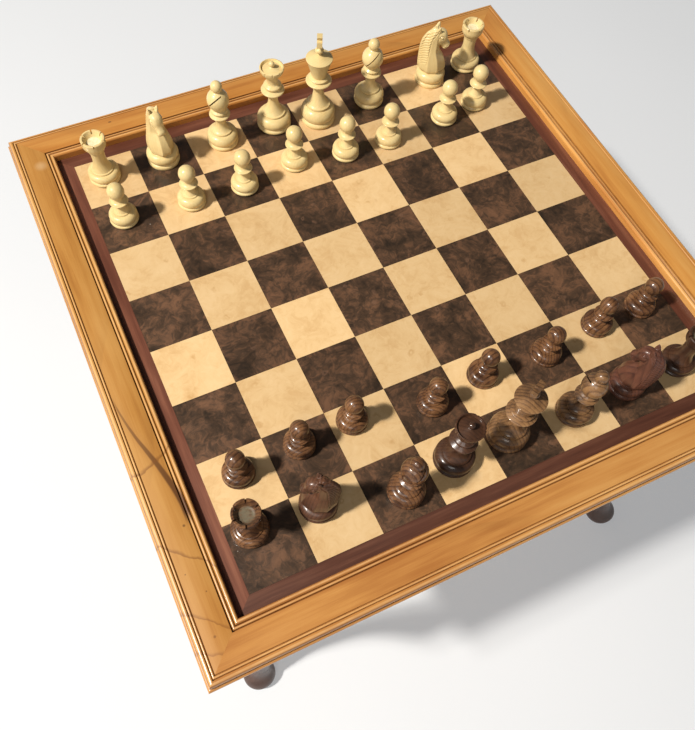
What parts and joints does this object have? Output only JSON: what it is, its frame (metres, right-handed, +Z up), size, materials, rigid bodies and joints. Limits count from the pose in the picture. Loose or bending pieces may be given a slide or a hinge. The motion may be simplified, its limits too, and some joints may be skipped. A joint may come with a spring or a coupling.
{
  "type": "chess set with board",
  "caption": "Square chess table on cabriole legs, with an inlaid burl veneer field in a moulded frame and turned wooden chessmen that lift off.",
  "frame": {"origin": "on the floor, under the middle of the table", "axes": "+X to the right along the near edge (the dark men stand there), +Y away from that edge, +Z up"},
  "size_m": [0.5614, 0.5614, 0.4701],
  "materials": {
    "boxwood": "satin wax on boxwood",
    "rosewood": "glossy lacquer on dark rosewood or walnut",
    "frame_cherry": "satin lacquer on honey coloured wood",
    "border_mahogany": "satin lacquer on red brown veneer",
    "maple_burl": "satin lacquer on light burl veneer",
    "walnut_burl": "satin lacquer on dark burl veneer",
    "core_board": "raw fibre board",
    "backing": "plain backing veneer",
    "beech": "raw beech",
    "leg_stain": "dark brown stain under satin lacquer",
    "glide_nylon": "worn nylon",
    "zinc_steel": "zinc plated"
  },
  "bodies": {
    "table": {"apron_far": "leg_stain", "apron_left": "leg_stain", "apron_near": "leg_stain", "apron_right": "leg_stain", "apron_screws": "zinc_steel", "backing_veneer": "backing", "border_strip_far": "border_mahogany", "border_strip_left": "border_mahogany", "border_strip_near": "border_mahogany", "border_strip_right": "border_mahogany", "corner_plates": "zinc_steel", "dark_squares": "walnut_burl", "frame_rail_far": "frame_cherry", "frame_rail_left": "frame_cherry", "frame_rail_near": "frame_cherry", "frame_rail_right": "frame_cherry", "hanger_bolts": "zinc_steel", "hanger_nuts": "zinc_steel", "hanger_washers": "zinc_steel", "leg_far_left": "leg_stain", "leg_far_right": "leg_stain", "leg_glides": "glide_nylon", "leg_near_left": "leg_stain", "leg_near_right": "leg_stain", "light_squares": "maple_burl", "mitre_keys": "beech", "panel_core": "core_board", "plate_screws": "zinc_steel"},
    "dark_bishop_c_body": {"dark_bishop_c": "rosewood"},
    "dark_bishop_f_body": {"dark_bishop_f": "rosewood"},
    "dark_king_e_body": {"dark_king_e": "rosewood"},
    "dark_knight_b_body": {"dark_knight_b": "rosewood"},
    "dark_knight_g_body": {"dark_knight_g": "rosewood"},
    "dark_pawn_a_body": {"dark_pawn_a": "rosewood"},
    "dark_pawn_b_body": {"dark_pawn_b": "rosewood"},
    "dark_pawn_c_body": {"dark_pawn_c": "rosewood"},
    "dark_pawn_d_body": {"dark_pawn_d": "rosewood"},
    "dark_pawn_e_body": {"dark_pawn_e": "rosewood"},
    "dark_pawn_f_body": {"dark_pawn_f": "rosewood"},
    "dark_pawn_g_body": {"dark_pawn_g": "rosewood"},
    "dark_pawn_h_body": {"dark_pawn_h": "rosewood"},
    "dark_queen_d_body": {"dark_queen_d": "rosewood"},
    "dark_rook_a_body": {"dark_rook_a": "rosewood"},
    "dark_rook_h_body": {"dark_rook_h": "rosewood"},
    "light_bishop_c_body": {"light_bishop_c": "boxwood"},
    "light_bishop_f_body": {"light_bishop_f": "boxwood"},
    "light_king_e_body": {"light_king_e": "boxwood"},
    "light_knight_b_body": {"light_knight_b": "boxwood"},
    "light_knight_g_body": {"light_knight_g": "boxwood"},
    "light_pawn_a_body": {"light_pawn_a": "boxwood"},
    "light_pawn_b_body": {"light_pawn_b": "boxwood"},
    "light_pawn_c_body": {"light_pawn_c": "boxwood"},
    "light_pawn_d_body": {"light_pawn_d": "boxwood"},
    "light_pawn_e_body": {"light_pawn_e": "boxwood"},
    "light_pawn_f_body": {"light_pawn_f": "boxwood"},
    "light_pawn_g_body": {"light_pawn_g": "boxwood"},
    "light_pawn_h_body": {"light_pawn_h": "boxwood"},
    "light_queen_d_body": {"light_queen_d": "boxwood"},
    "light_rook_a_body": {"light_rook_a": "boxwood"},
    "light_rook_h_body": {"light_rook_h": "boxwood"}
  },
  "joints": [
    {"name": "dark_bishop_c_lift", "type": "slide", "parent": "table", "child": "dark_bishop_c_body", "axis": [0, 0, 1], "range_m": [0, 0.1]},
    {"name": "dark_bishop_f_lift", "type": "slide", "parent": "table", "child": "dark_bishop_f_body", "axis": [0, 0, 1], "range_m": [0, 0.1]},
    {"name": "dark_king_e_lift", "type": "slide", "parent": "table", "child": "dark_king_e_body", "axis": [0, 0, 1], "range_m": [0, 0.1]},
    {"name": "dark_knight_b_lift", "type": "slide", "parent": "table", "child": "dark_knight_b_body", "axis": [0, 0, 1], "range_m": [0, 0.1]},
    {"name": "dark_knight_g_lift", "type": "slide", "parent": "table", "child": "dark_knight_g_body", "axis": [0, 0, 1], "range_m": [0, 0.1]},
    {"name": "dark_pawn_a_lift", "type": "slide", "parent": "table", "child": "dark_pawn_a_body", "axis": [0, 0, 1], "range_m": [0, 0.1]},
    {"name": "dark_pawn_b_lift", "type": "slide", "parent": "table", "child": "dark_pawn_b_body", "axis": [0, 0, 1], "range_m": [0, 0.1]},
    {"name": "dark_pawn_c_lift", "type": "slide", "parent": "table", "child": "dark_pawn_c_body", "axis": [0, 0, 1], "range_m": [0, 0.1]},
    {"name": "dark_pawn_d_lift", "type": "slide", "parent": "table", "child": "dark_pawn_d_body", "axis": [0, 0, 1], "range_m": [0, 0.1]},
    {"name": "dark_pawn_e_lift", "type": "slide", "parent": "table", "child": "dark_pawn_e_body", "axis": [0, 0, 1], "range_m": [0, 0.1]},
    {"name": "dark_pawn_f_lift", "type": "slide", "parent": "table", "child": "dark_pawn_f_body", "axis": [0, 0, 1], "range_m": [0, 0.1]},
    {"name": "dark_pawn_g_lift", "type": "slide", "parent": "table", "child": "dark_pawn_g_body", "axis": [0, 0, 1], "range_m": [0, 0.1]},
    {"name": "dark_pawn_h_lift", "type": "slide", "parent": "table", "child": "dark_pawn_h_body", "axis": [0, 0, 1], "range_m": [0, 0.1]},
    {"name": "dark_queen_d_lift", "type": "slide", "parent": "table", "child": "dark_queen_d_body", "axis": [0, 0, 1], "range_m": [0, 0.1]},
    {"name": "dark_rook_a_lift", "type": "slide", "parent": "table", "child": "dark_rook_a_body", "axis": [0, 0, 1], "range_m": [0, 0.1]},
    {"name": "dark_rook_h_lift", "type": "slide", "parent": "table", "child": "dark_rook_h_body", "axis": [0, 0, 1], "range_m": [0, 0.1]},
    {"name": "light_bishop_c_lift", "type": "slide", "parent": "table", "child": "light_bishop_c_body", "axis": [0, 0, 1], "range_m": [0, 0.1]},
    {"name": "light_bishop_f_lift", "type": "slide", "parent": "table", "child": "light_bishop_f_body", "axis": [0, 0, 1], "range_m": [0, 0.1]},
    {"name": "light_king_e_lift", "type": "slide", "parent": "table", "child": "light_king_e_body", "axis": [0, 0, 1], "range_m": [0, 0.1]},
    {"name": "light_knight_b_lift", "type": "slide", "parent": "table", "child": "light_knight_b_body", "axis": [0, 0, 1], "range_m": [0, 0.1]},
    {"name": "light_knight_g_lift", "type": "slide", "parent": "table", "child": "light_knight_g_body", "axis": [0, 0, 1], "range_m": [0, 0.1]},
    {"name": "light_pawn_a_lift", "type": "slide", "parent": "table", "child": "light_pawn_a_body", "axis": [0, 0, 1], "range_m": [0, 0.1]},
    {"name": "light_pawn_b_lift", "type": "slide", "parent": "table", "child": "light_pawn_b_body", "axis": [0, 0, 1], "range_m": [0, 0.1]},
    {"name": "light_pawn_c_lift", "type": "slide", "parent": "table", "child": "light_pawn_c_body", "axis": [0, 0, 1], "range_m": [0, 0.1]},
    {"name": "light_pawn_d_lift", "type": "slide", "parent": "table", "child": "light_pawn_d_body", "axis": [0, 0, 1], "range_m": [0, 0.1]},
    {"name": "light_pawn_e_lift", "type": "slide", "parent": "table", "child": "light_pawn_e_body", "axis": [0, 0, 1], "range_m": [0, 0.1]},
    {"name": "light_pawn_f_lift", "type": "slide", "parent": "table", "child": "light_pawn_f_body", "axis": [0, 0, 1], "range_m": [0, 0.1]},
    {"name": "light_pawn_g_lift", "type": "slide", "parent": "table", "child": "light_pawn_g_body", "axis": [0, 0, 1], "range_m": [0, 0.1]},
    {"name": "light_pawn_h_lift", "type": "slide", "parent": "table", "child": "light_pawn_h_body", "axis": [0, 0, 1], "range_m": [0, 0.1]},
    {"name": "light_queen_d_lift", "type": "slide", "parent": "table", "child": "light_queen_d_body", "axis": [0, 0, 1], "range_m": [0, 0.1]},
    {"name": "light_rook_a_lift", "type": "slide", "parent": "table", "child": "light_rook_a_body", "axis": [0, 0, 1], "range_m": [0, 0.1]},
    {"name": "light_rook_h_lift", "type": "slide", "parent": "table", "child": "light_rook_h_body", "axis": [0, 0, 1], "range_m": [0, 0.1]}
  ]
}
